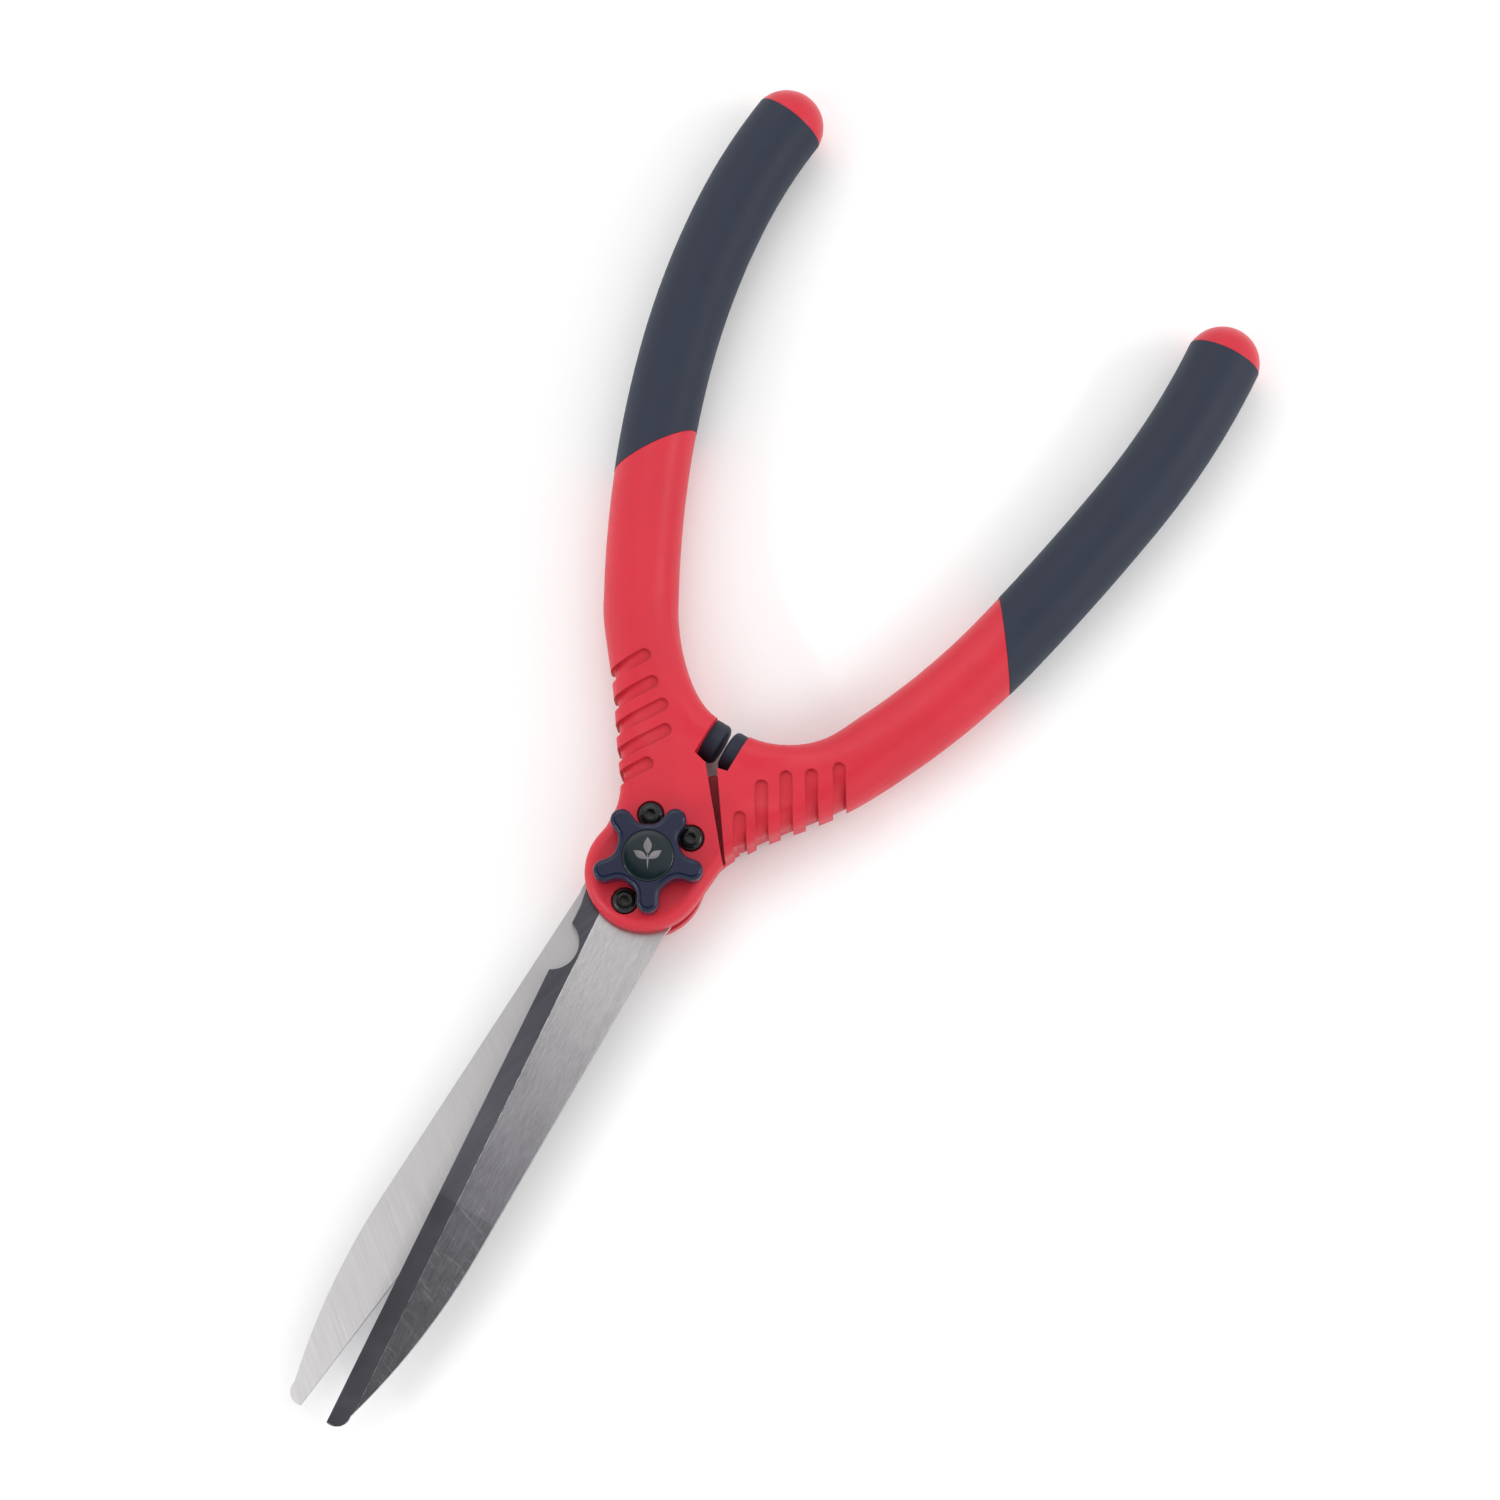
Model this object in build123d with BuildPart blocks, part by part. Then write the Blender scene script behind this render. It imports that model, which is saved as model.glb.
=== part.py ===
"""Grass shears: two crossed blades on moulded handles, pivoting on one bolt with a star-shaped tension knob.

Frame: origin on the pivot axis at the back of the bolt head, +Y towards the grips, +Z up through the knob.
The two halves are the same moulding turned half a turn about the Y axis; only their grips bow by
different amounts. Every piece of a half is built as the front one (grip on the -X side, head in the
upper layer) and turned over for the rear one.
"""

import os
from math import cos, hypot, radians, sin

from build123d import *

# ---- layers of the pivot stack, from the back (z = 0) to the knob ----
BACK_Z = 1.5  # back face of the rear head
HEAD_THICKNESS = 9.5
BLADE_THICKNESS = 3.0
REAR_BLADE_Z = BACK_Z + HEAD_THICKNESS
CUT_Z = REAR_BLADE_Z + BLADE_THICKNESS  # the plane where the blades slide on each other
FRONT_HEAD_Z = CUT_Z + BLADE_THICKNESS
FACE_Z = FRONT_HEAD_Z + HEAD_THICKNESS
NECK_THICKNESS = FACE_Z - BACK_Z
MID_Z = (BACK_Z + FACE_Z) / 2

# ---- handle tube, grip sleeve and end cap ----
TUBE_R = 13.9
CORE_R = 10.5
CORE_BORE_R = 6.0
SLEEVE_R = 14.0
SLEEVE_CLEARANCE = 0.05
SEAM_STEPS = 200  # how finely the centre line is searched for the seam
CAP_HEIGHT = 12.0
CAP_R = (TUBE_R**2 + CAP_HEIGHT**2) / (2 * CAP_HEIGHT)
CAP_SPIGOT_R = 5.8
CAP_SPIGOT_LENGTH = 16.0
FRONT_TUBE = [(-56.0, 84.2), (-77.1, 125.7), (-93.1, 168.8), (-105.2, 229.5), (-104.9, 272.0)]
REAR_TUBE = [(-50.9, 84.2), (-60.1, 107.0), (-68.9, 137.9), (-81.2, 205.0), (-83.3, 274.0)]
# the slanted seam: where it crosses the middle of the tube, and its slope, higher inside, degrees from +X
FRONT_SEAM = (134.5, 57.0)
REAR_SEAM = (137.0, 53.0)

# ---- neck: stations from the outer to the inner side, (outer point, inner point, height, corner radius) ----
NECK_STATIONS = [
    ((-51.0, 54.6), (-28.6, 70.9), 26.6, 11.0),
    ((-38.6, 38.4), (-14.6, 60.6), 25.3, 7.0),
    ((-25.9, 21.4), (-0.5, 59.6), NECK_THICKNESS, 4.5),
]
RING_SIDE = 20.0  # share of the round tube that runs into each flat side of the neck, degrees
TUBE_RUN_ON = 6.0  # how far the neck keeps the tube's round section and direction
EDGE_R = 4.5  # rounding of the head and neck edges
HEAD_LEFT = (-21.2, 0.1)  # where the neck's outer side runs into the round head
HEAD_BOTTOM = (0.0, -25.4)
HEAD_RIGHT = (22.0, -4.0)
WEDGE_TOP = (-1.6, 41.4)  # upper end of the slanting edge that faces the other neck
WEDGE_END = (23.0, 12.8)
STEP_TOP = (-3.7, 40.9)  # the step between the full neck and the thin head
STEP_END = (-23.6, 13.4)
CUT_REACH = 80.0  # how far a cut is carried past the piece
UPWARD = (Align.CENTER, Align.CENTER, Align.MIN)  # a cylinder that stands on its place

# ---- finger grooves ----
GROOVE_WIDTH = 4.8
GROOVE_DEPTH = 1.4
GROOVE_DIRECTION = 238.5  # degrees, from the inner end out over the edge of the neck
GROOVE_LENGTH = 34.0
GROOVE_ENDS = [(-41.4, 64.0), (-33.9, 56.9), (-26.3, 51.6), (-20.4, 44.2), (-19.6, 30.2)]

# ---- bumpers ----
SEAT_X = 7.0
SEAT_BOTTOM_Y = 42.7
SEAT_TOP_Y = 70.0
BUMPER_Y = 51.4
BUMPER_R = 7.8
BUMPER_GAP = 1.9  # between the two faces at rest
BUMPER_EDGE_R = 2.0
STEM_R = 3.0
STEM_LENGTH = 9.0
STEM_HOLE_LENGTH = 10.0

# ---- blades ----
EDGE_HEEL = (-14.2, -25.3)
EDGE_TIP = (5.7, -228.6)
TIP_MID = (9.4, -228.2)
TIP_SPINE = (11.9, -222.6)
SPINE_WIDEST = (20.3, -150.0)
SPINE_RUN = (0.3, -10.0)  # direction of the spine where it begins to curve in to the point
SPINE_HEEL = (17.3, -22.0)
TANG_R = 20.7
TANG_LEFT = (-18.0, -10.0)
TANG_RIGHT = (18.6, -8.0)
BEVEL_WIDTH = 7.5
EDGE_LAND = 0.35  # thickness left at the cutting edge
NOTCH_R = 10.0
NOTCH_CENTRE = (-16.2, -42.4)
TAPER_START_Y = -140.0
TIP_THICKNESS = 1.9

# ---- screws that hold each blade to its head ----
SCREW_RING_R = 17.0
SCREW_ANGLES = (60.0, 120.0, 270.0)
SCREW_R = 2.5
SCREW_HEAD_R = 4.7
SCREW_HEAD_HEIGHT = 2.7
SCREW_SINK = 1.2
SCREW_SOCKET_R = 1.75
SCREW_SOCKET_DEPTH = 1.5
SCREW_HOLE_R = 2.55
SCREW_DOME_R = 2.0
SPOT_FACE_R = 5.0
SOCKET_SIDES = 6

# ---- pivot ----
BOLT_HEAD_R = 11.0
BOLT_HEAD_HEIGHT = 3.0
BOLT_HEAD_CHAMFER = 0.6
BOLT_NECK_R = 6.0
BOLT_FLAT = 5.0  # from the axis to each of the two flats that key the bolt to the rear bush
BOLT_R = 4.95
THREAD_R = 4.0
THREAD_TOP_Z = 34.0
THREAD_CHAMFER = 0.8
RUNNING_GAP = 0.05
FIT_GAP = 0.03
BUSH_R = 7.5
POCKET_R = 11.1  # round pocket in each head, for the bolt head behind and the washer in front
POCKET_DEPTH = 1.5
WASHER_R = 10.8
SPRING_R = 9.0
SPRING_HEIGHT = 1.4
SPRING_PLATE = 0.6

# ---- tension knob ----
KNOB_Z = FACE_Z + 2.3
KNOB_HEIGHT = 8.4
KNOB_HUB_R = 11.9
LOBE_COUNT = 5
LOBE_CENTRE_R = 16.5
LOBE_WIDTH = 8.0
LOBE_ANGLE = -59.0
VALLEY_R = 5.2
KNOB_EDGE_R = 1.9
KNOB_UNDERSIDE_R = 0.6
NUT_FLANGE_R = 7.4
NUT_R = 6.0
NUT_HEIGHT = 6.0
BADGE_R = 9.5
BADGE_RECESS = 0.9
BADGE_DOME = 0.8


def tube_path(points):
    """The grip's centre line: an arc through three points, then two more arcs that leave it smoothly."""
    with BuildLine(Plane.XY.offset(MID_Z)) as path:
        first = ThreePointArc(*points[:3])
        second = TangentArc(points[2], points[3], tangent=first % 1)
        TangentArc(points[3], points[4], tangent=second % 1)
    return path.line


def tube(path, radius):
    """A round bar along the grip's centre line."""
    with BuildPart() as bar:
        with BuildSketch(Plane(origin=path @ 0, z_dir=path % 0)):
            Circle(radius)
        sweep(path=path)
    return bar.part


def station_plane(outer, inner):
    """An upright plane across the neck, its x axis running from the outer to the inner side."""
    middle = ((outer[0] + inner[0]) / 2, (outer[1] + inner[1]) / 2, MID_Z)
    across = Vector(inner[0] - outer[0], inner[1] - outer[1], 0)
    return Plane(origin=middle, x_dir=across, z_dir=across.cross(Vector(0, 0, 1)))


def seam_plane(path, seam):
    """The slanted upright cut where the grip sleeve begins, facing the grip's end."""
    seam_y, slope = seam
    shares = [step / SEAM_STEPS for step in range(SEAM_STEPS + 1)]
    middle = min((path @ share for share in shares), key=lambda point: abs(point.Y - seam_y))
    along = Vector(-sin(radians(slope)), cos(radians(slope)), 0)
    return Plane(origin=middle, z_dir=along)


def head_outline():
    """Plan of the round head and the neck below the last station."""
    outer, inner = NECK_STATIONS[-1][:2]
    before = NECK_STATIONS[-2][0]
    seat_share = (-SEAT_X - outer[0]) / (inner[0] - outer[0])
    seat_join = (-SEAT_X, outer[1] + seat_share * (inner[1] - outer[1]))
    with BuildSketch() as outline:
        with BuildLine():
            side = TangentArc(outer, HEAD_LEFT, tangent=(outer[0] - before[0], outer[1] - before[1]))
            left = TangentArc(HEAD_LEFT, HEAD_BOTTOM, tangent=side % 1)
            right = TangentArc(HEAD_BOTTOM, HEAD_RIGHT, tangent=left % 1)
            TangentArc(HEAD_RIGHT, WEDGE_END, tangent=right % 1)
            Polyline(WEDGE_END, WEDGE_TOP, (-SEAT_X, SEAT_BOTTOM_Y), seat_join, outer)
        make_face()
    return outline.sketch


def ring_section(radius):
    """A circle drawn in eight arcs, to match the four sides and four corners of the neck's other sections."""
    with BuildSketch() as section:
        with BuildLine():
            for turn in range(0, 360, 90):
                CenterArc((0, 0), radius, turn - RING_SIDE / 2, RING_SIDE)
                CenterArc((0, 0), radius, turn + RING_SIDE / 2, 90 - RING_SIDE)
        make_face()
    return section.sketch


def neck_loft(path, inset=0.0):
    """The neck between the round tube and the last station. Drawn in by inset, it also laps into the head."""
    start = path % 0
    top = Plane(origin=path @ 0, x_dir=(start.Y, -start.X, 0), z_dir=start * -1)
    with BuildPart() as neck:
        with BuildSketch(top, top.offset(TUBE_RUN_ON)):
            add(ring_section(TUBE_R - inset))
        for outer, inner, height, corner in NECK_STATIONS:
            width = hypot(inner[0] - outer[0], inner[1] - outer[1])
            with BuildSketch(station_plane(outer, inner)) as last:
                RectangleRounded(width - 2 * inset, height - 2 * inset, corner)
        loft()
        if inset:
            extrude(last.sketch, amount=2 * inset)
        with BuildSketch(Plane.XY.offset(-BACK_Z)):
            with Locations((-SEAT_X, SEAT_TOP_Y)):
                Rectangle(CUT_REACH, SEAT_TOP_Y - SEAT_BOTTOM_Y, align=(Align.MIN, Align.MAX))
        extrude(amount=CUT_REACH, mode=Mode.SUBTRACT)
    return neck.part


def head_plate():
    """Head and lower neck at full thickness, with rounded edges along the outside."""
    with BuildPart() as plate:
        with BuildSketch(Plane.XY.offset(BACK_Z)):
            add(head_outline())
        extrude(amount=NECK_THICKNESS)
        fillet(plate.edges().filter_by(Plane.XY).filter_by(GeomType.CIRCLE), EDGE_R)
    return plate.part


def groove_cuts(path):
    """The finger grooves: round-ended bars, less the neck and head drawn in by the grooves' depth."""
    half = GROOVE_LENGTH / 2
    along = Vector(cos(radians(GROOVE_DIRECTION)), sin(radians(GROOVE_DIRECTION)))
    with BuildPart() as cuts:
        with BuildSketch(Plane.XY.offset(-BACK_Z)):
            for end in GROOVE_ENDS:
                middle = (end[0] + half * along.X, end[1] + half * along.Y)
                with Locations(Location(middle, GROOVE_DIRECTION)):
                    SlotCenterToCenter(GROOVE_LENGTH, GROOVE_WIDTH)
        extrude(amount=FACE_Z + 2 * BACK_Z)
        add(neck_loft(path, GROOVE_DEPTH), mode=Mode.SUBTRACT)
        with BuildSketch(Plane.XY.offset(BACK_Z + GROOVE_DEPTH)):
            add(head_outline())
            offset(amount=-GROOVE_DEPTH, mode=Mode.REPLACE)
        extrude(amount=NECK_THICKNESS - 2 * GROOVE_DEPTH, mode=Mode.SUBTRACT)
    return cuts.part


def beyond_step():
    """Plan of everything on the head's side of the step between the full neck and the thin head."""
    run = Vector(STEP_TOP[0] - STEP_END[0], STEP_TOP[1] - STEP_END[1]).normalized()
    away = Vector(run.Y, -run.X) * CUT_REACH
    high = Vector(*STEP_TOP) + run * CUT_REACH
    low = Vector(*STEP_END) - run * CUT_REACH
    with BuildSketch() as region:
        with BuildLine():
            Polyline(*((v.X, v.Y) for v in (high, low, low + away, high + away)), close=True)
        make_face()
    return region.sketch


def handle(points, seam):
    """One moulded handle: head, neck with finger grooves, red tube, and the thin core under the grip."""
    path = tube_path(points)
    with BuildPart() as red_tube:
        add(tube(path, TUBE_R))
        split(bisect_by=seam_plane(path, seam), keep=Keep.BOTTOM)
    with BuildPart() as body:
        add(neck_loft(path))
        add(head_plate())
        add(groove_cuts(path), mode=Mode.SUBTRACT)
        with BuildSketch(Plane.XY.offset(-BACK_Z)):
            add(beyond_step())
        extrude(amount=FRONT_HEAD_Z + BACK_Z, mode=Mode.SUBTRACT)
        add(red_tube.part)
        add(tube(path, CORE_R))
        with BuildSketch(Plane(origin=path @ 1, z_dir=path % 1 * -1)):
            Circle(CORE_BORE_R)
        extrude(amount=2 * CAP_SPIGOT_LENGTH, mode=Mode.SUBTRACT)
        with Locations((0, 0, FRONT_HEAD_Z)):
            Cylinder(BUSH_R + FIT_GAP, CUT_REACH, mode=Mode.SUBTRACT)
        with Locations((0, 0, FACE_Z - POCKET_DEPTH)):
            Cylinder(POCKET_R, CUT_REACH, align=UPWARD, mode=Mode.SUBTRACT)
        for angle in SCREW_ANGLES:
            spot = (SCREW_RING_R * cos(radians(angle)), SCREW_RING_R * sin(radians(angle)))
            with Locations((*spot, FACE_Z - SCREW_SINK)):
                Cylinder(SCREW_HOLE_R, CUT_REACH, mode=Mode.SUBTRACT)
                Cylinder(SPOT_FACE_R, CUT_REACH, align=UPWARD, mode=Mode.SUBTRACT)
        with BuildSketch(Plane.YZ.offset(-SEAT_X)):
            with Locations((BUMPER_Y, MID_Z)):
                Circle(STEM_R + FIT_GAP)
        extrude(amount=-STEM_HOLE_LENGTH, mode=Mode.SUBTRACT)
    return body.part


def grip(points, seam):
    """The soft sleeve from the slanted seam to the end cap."""
    path = tube_path(points)
    with BuildPart() as sleeve:
        add(tube(path, SLEEVE_R))
        split(bisect_by=seam_plane(path, seam), keep=Keep.TOP)
        add(tube(path, CORE_R + SLEEVE_CLEARANCE), mode=Mode.SUBTRACT)
    return sleeve.part


def end_cap(points):
    """The domed plug that closes the handle's hollow end."""
    path = tube_path(points)
    end = Plane(origin=path @ 1, z_dir=path % 1)
    with BuildPart() as cap:
        with Locations(end.offset(CAP_HEIGHT - CAP_R).location):
            Sphere(CAP_R)
        split(bisect_by=end, keep=Keep.TOP)
        with BuildSketch(end):
            Circle(CAP_SPIGOT_R)
        extrude(amount=-CAP_SPIGOT_LENGTH)
    return cap.part


def blade():
    """One blade: long flat shape with a notch near the heel, bevelled edge, thinner point and round tang."""
    edge_run = Vector(EDGE_TIP[0] - EDGE_HEEL[0], EDGE_TIP[1] - EDGE_HEEL[1]).normalized()
    slope = (BLADE_THICKNESS - EDGE_LAND) / BEVEL_WIDTH
    bevel_plane = Plane(origin=(*EDGE_HEEL, CUT_Z), x_dir=(-edge_run.Y, edge_run.X, 0), z_dir=edge_run * -1)
    drop = BLADE_THICKNESS - TIP_THICKNESS
    with BuildPart() as body:
        with BuildSketch(Plane.XY.offset(CUT_Z)):
            with BuildLine():
                Polyline(TANG_LEFT, EDGE_HEEL, EDGE_TIP)
                ThreePointArc(EDGE_TIP, TIP_MID, TIP_SPINE)
                TangentArc(SPINE_WIDEST, TIP_SPINE, tangent=SPINE_RUN)
                Polyline(SPINE_WIDEST, SPINE_HEEL, TANG_RIGHT, TANG_LEFT)
            make_face()
            Circle(TANG_R)
            with Locations(NOTCH_CENTRE):
                Circle(NOTCH_R, mode=Mode.SUBTRACT)
        extrude(amount=BLADE_THICKNESS)
        with BuildSketch(bevel_plane):
            with BuildLine():
                reach = BEVEL_WIDTH / 2
                Polyline(
                    (-reach, EDGE_LAND - slope * reach),
                    (BEVEL_WIDTH + reach, BLADE_THICKNESS + slope * reach),
                    (-reach, BLADE_THICKNESS + slope * reach),
                    close=True,
                )
            make_face()
        extrude(amount=2 * EDGE_TIP[1], mode=Mode.SUBTRACT)
        with BuildSketch(Plane.YZ.offset(-CUT_REACH)):
            with BuildLine():
                tip_y = EDGE_TIP[1]
                Polyline(
                    (TAPER_START_Y, FRONT_HEAD_Z),
                    (tip_y, FRONT_HEAD_Z - drop),
                    (tip_y, FRONT_HEAD_Z + drop),
                    (TAPER_START_Y, FRONT_HEAD_Z + drop),
                    close=True,
                )
            make_face()
        extrude(amount=CUT_REACH * 2, mode=Mode.SUBTRACT)
        with Locations((0, 0, CUT_Z)):
            Cylinder(BUSH_R + FIT_GAP, CUT_REACH, mode=Mode.SUBTRACT)
        for angle in SCREW_ANGLES:
            spot = (SCREW_RING_R * cos(radians(angle)), SCREW_RING_R * sin(radians(angle)))
            with Locations((*spot, CUT_Z)):
                Cylinder(SCREW_HOLE_R, CUT_REACH, mode=Mode.SUBTRACT)
    return body.part


def blade_screw(angle):
    """A button-head socket screw that holds the blade against the head."""
    spot = (SCREW_RING_R * cos(radians(angle)), SCREW_RING_R * sin(radians(angle)))
    seat_z = FACE_Z - SCREW_SINK
    top_z = seat_z + SCREW_HEAD_HEIGHT
    with BuildPart() as screw:
        with BuildSketch(Plane.XY.offset(seat_z)):
            with Locations(spot):
                Circle(SCREW_HEAD_R)
        extrude(amount=SCREW_HEAD_HEIGHT)
        fillet(screw.edges().group_by(Axis.Z)[-1], SCREW_DOME_R)
        with BuildSketch(Plane.XY.offset(top_z)):
            with Locations(spot):
                RegularPolygon(SCREW_SOCKET_R, SOCKET_SIDES)
        extrude(amount=-SCREW_SOCKET_DEPTH, mode=Mode.SUBTRACT)
        with BuildSketch(Plane.XY.offset(CUT_Z + FIT_GAP)):
            with Locations(spot):
                Circle(SCREW_R)
        extrude(amount=seat_z - CUT_Z - FIT_GAP)
    return screw.part


def bumper():
    """A rubber stop on the side of the neck: a thick disc with a stem that is pushed into the neck."""
    face_x = -BUMPER_GAP / 2
    with BuildPart() as stop:
        with BuildSketch(Plane.YZ.offset(-SEAT_X)):
            with Locations((BUMPER_Y, MID_Z)):
                Circle(BUMPER_R)
        extrude(amount=SEAT_X + face_x)
        fillet(stop.edges().group_by(Axis.X)[-1], BUMPER_EDGE_R)
        with BuildSketch(Plane.YZ.offset(-SEAT_X)):
            with Locations((BUMPER_Y, MID_Z)):
                Circle(STEM_R)
        extrude(amount=-STEM_LENGTH)
    return stop.part


def keyed_section(gap):
    """Round section with two flats, widened by gap."""
    with BuildSketch() as section:
        Circle(BOLT_NECK_R + gap)
        Rectangle(2 * (BOLT_FLAT + gap), 3 * BOLT_NECK_R, mode=Mode.INTERSECT)
    return section.sketch


def bush(keyed):
    """The sleeve in a head's bore: round inside, or with two flats in the half that holds the bolt."""
    with BuildPart() as sleeve:
        with BuildSketch(Plane.XY.offset(CUT_Z)):
            Circle(BUSH_R)
            if keyed:
                add(keyed_section(FIT_GAP), mode=Mode.SUBTRACT)
            else:
                Circle(BOLT_R + RUNNING_GAP, mode=Mode.SUBTRACT)
        extrude(amount=FACE_Z - POCKET_DEPTH - CUT_Z)
    return sleeve.part


def turned_over(part):
    """A front piece brought to the rear half: half a turn about the Y direction through the middle layer."""
    return part.rotate(Axis((0, 0, MID_Z), (0, 1, 0)), 180)


def save(part, name):
    """Names a finished piece and writes it as its own file."""
    part.label = name
    export_step(part, f"parts/{name}.step")


def save_half(side, points, seam, place, keyed):
    """Every piece of one half: handle, grip, cap, blade and its screws, bumper and bush."""
    save(place(handle(points, seam)), f"{side}_handle")
    save(place(grip(points, seam)), f"{side}_grip")
    save(place(end_cap(points)), f"{side}_end_cap")
    save(place(blade()), f"{side}_blade")
    save(place(bumper()), f"{side}_bumper")
    save(place(bush(keyed)), f"{side}_bush")
    for number, angle in enumerate(SCREW_ANGLES, start=1):
        save(place(blade_screw(angle)), f"{side}_blade_screw_{number}")


def save_pivot():
    """The bolt with its flat head at the back, keyed neck, round shank and threaded end, and its washers."""
    with BuildPart() as bolt:
        Cylinder(BOLT_HEAD_R, BOLT_HEAD_HEIGHT, align=UPWARD)
        chamfer(bolt.edges().group_by(Axis.Z)[0], BOLT_HEAD_CHAMFER)
        with BuildSketch(Plane.XY.offset(BOLT_HEAD_HEIGHT)):
            add(keyed_section(0))
        extrude(amount=CUT_Z - FIT_GAP - BOLT_HEAD_HEIGHT)
        with BuildSketch(Plane.XY.offset(CUT_Z - FIT_GAP)):
            Circle(BOLT_R)
        extrude(amount=FACE_Z - POCKET_DEPTH - CUT_Z)
        with BuildSketch(Plane.XY.offset(CUT_Z)):
            Circle(THREAD_R)
        extrude(amount=THREAD_TOP_Z - CUT_Z)
        chamfer(bolt.edges().group_by(Axis.Z)[-1], THREAD_CHAMFER)
    save(bolt.part, "pivot_bolt")

    with BuildPart() as washer:
        with BuildSketch(Plane.XY.offset(FACE_Z - POCKET_DEPTH)):
            Circle(WASHER_R)
            Circle(THREAD_R + RUNNING_GAP, mode=Mode.SUBTRACT)
        extrude(amount=POCKET_DEPTH)
    save(washer.part, "thrust_washer")

    inner_r = THREAD_R + 2 * RUNNING_GAP
    top_z = FACE_Z + SPRING_HEIGHT
    with BuildPart() as spring:
        with BuildSketch(Plane.XZ):
            with BuildLine():
                Polyline(
                    (inner_r, top_z),
                    (inner_r, top_z - SPRING_PLATE),
                    (SPRING_R, FACE_Z),
                    (SPRING_R, FACE_Z + SPRING_PLATE),
                    close=True,
                )
            make_face()
        revolve(axis=Axis.Z)
    save(spring.part, "spring_washer")


def save_knob():
    """The star-shaped knob, the nut moulded into it and the domed badge in its top."""
    nut_z = FACE_Z + SPRING_HEIGHT
    nut_top_z = KNOB_Z + NUT_HEIGHT
    top_z = KNOB_Z + KNOB_HEIGHT
    with BuildPart() as star:
        with BuildSketch(Plane.XY.offset(KNOB_Z)) as plan:
            Circle(KNOB_HUB_R)
            with PolarLocations(LOBE_CENTRE_R / 2, LOBE_COUNT, start_angle=LOBE_ANGLE):
                SlotCenterToCenter(LOBE_CENTRE_R, LOBE_WIDTH)
            valleys = plan.vertices().group_by(lambda v: round(hypot(v.X, v.Y), 1))[0]
            fillet(valleys, VALLEY_R)
        extrude(amount=KNOB_HEIGHT)
        fillet(star.edges().group_by(Axis.Z)[-1], KNOB_EDGE_R)
        fillet(star.edges().group_by(Axis.Z)[0], KNOB_UNDERSIDE_R)
        with BuildSketch(Plane.XY.offset(top_z)):
            Circle(BADGE_R + FIT_GAP)
        extrude(amount=-BADGE_RECESS, mode=Mode.SUBTRACT)
        with BuildSketch(Plane.XY.offset(KNOB_Z)):
            RegularPolygon(NUT_R + FIT_GAP, SOCKET_SIDES)
        extrude(amount=NUT_HEIGHT, mode=Mode.SUBTRACT)
    save(star.part, "tension_knob")

    with BuildPart() as nut:
        with BuildSketch(Plane.XY.offset(nut_z)):
            Circle(NUT_FLANGE_R)
        extrude(amount=KNOB_Z - nut_z)
        with BuildSketch(Plane.XY.offset(KNOB_Z)):
            RegularPolygon(NUT_R, SOCKET_SIDES)
        extrude(amount=NUT_HEIGHT)
        with BuildSketch(Plane.XY.offset(nut_z)):
            Circle(THREAD_R + RUNNING_GAP)
        extrude(amount=nut_top_z - nut_z, mode=Mode.SUBTRACT)
    save(nut.part, "knob_nut")

    with BuildPart() as badge:
        with BuildSketch(Plane.XZ):
            with BuildLine():
                Polyline(
                    (0, top_z + BADGE_DOME),
                    (0, top_z - BADGE_RECESS),
                    (BADGE_R, top_z - BADGE_RECESS),
                    (BADGE_R, top_z),
                )
                TangentArc((0, top_z + BADGE_DOME), (BADGE_R, top_z), tangent=(1, 0))
            make_face()
        revolve(axis=Axis.Z)
    save(badge.part, "knob_badge")


def main():
    os.makedirs("parts", exist_ok=True)
    save_half("front", FRONT_TUBE, FRONT_SEAM, lambda part: part, keyed=False)
    save_half("rear", REAR_TUBE, REAR_SEAM, turned_over, keyed=True)
    save_pivot()
    save_knob()


main()
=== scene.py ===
"""The looks of a pair of grass shears: finishes for its moulded, rubber and steel pieces, and the small
pieces that are modelled finer than their solids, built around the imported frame."""

from math import cos, pi, radians, sin, sqrt

import bmesh
import bpy
from mathutils import Matrix, Vector


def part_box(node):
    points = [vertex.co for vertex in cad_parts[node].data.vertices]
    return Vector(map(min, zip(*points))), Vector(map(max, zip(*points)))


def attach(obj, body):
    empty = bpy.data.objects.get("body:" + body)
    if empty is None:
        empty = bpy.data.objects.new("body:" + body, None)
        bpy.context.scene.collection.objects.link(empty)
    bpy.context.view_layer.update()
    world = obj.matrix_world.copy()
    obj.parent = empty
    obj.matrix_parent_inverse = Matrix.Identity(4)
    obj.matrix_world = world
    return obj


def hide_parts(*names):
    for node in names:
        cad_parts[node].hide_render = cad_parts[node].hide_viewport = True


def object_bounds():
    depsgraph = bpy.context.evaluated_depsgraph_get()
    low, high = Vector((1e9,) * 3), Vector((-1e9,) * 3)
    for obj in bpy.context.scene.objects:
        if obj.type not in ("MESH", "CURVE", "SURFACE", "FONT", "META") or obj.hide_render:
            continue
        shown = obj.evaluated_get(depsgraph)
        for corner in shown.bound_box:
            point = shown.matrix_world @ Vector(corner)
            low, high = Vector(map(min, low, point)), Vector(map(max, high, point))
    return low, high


bl_info = {
    "name": "Grass Shears Looks",
    "version": (1, 0, 0),
    "blender": (4, 5, 0),
    "location": "View3D > Sidebar > Grass Shears",
    "description": "Finishes and fine pieces for a pair of grass shears",
    "category": "Add Mesh",
}

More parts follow.
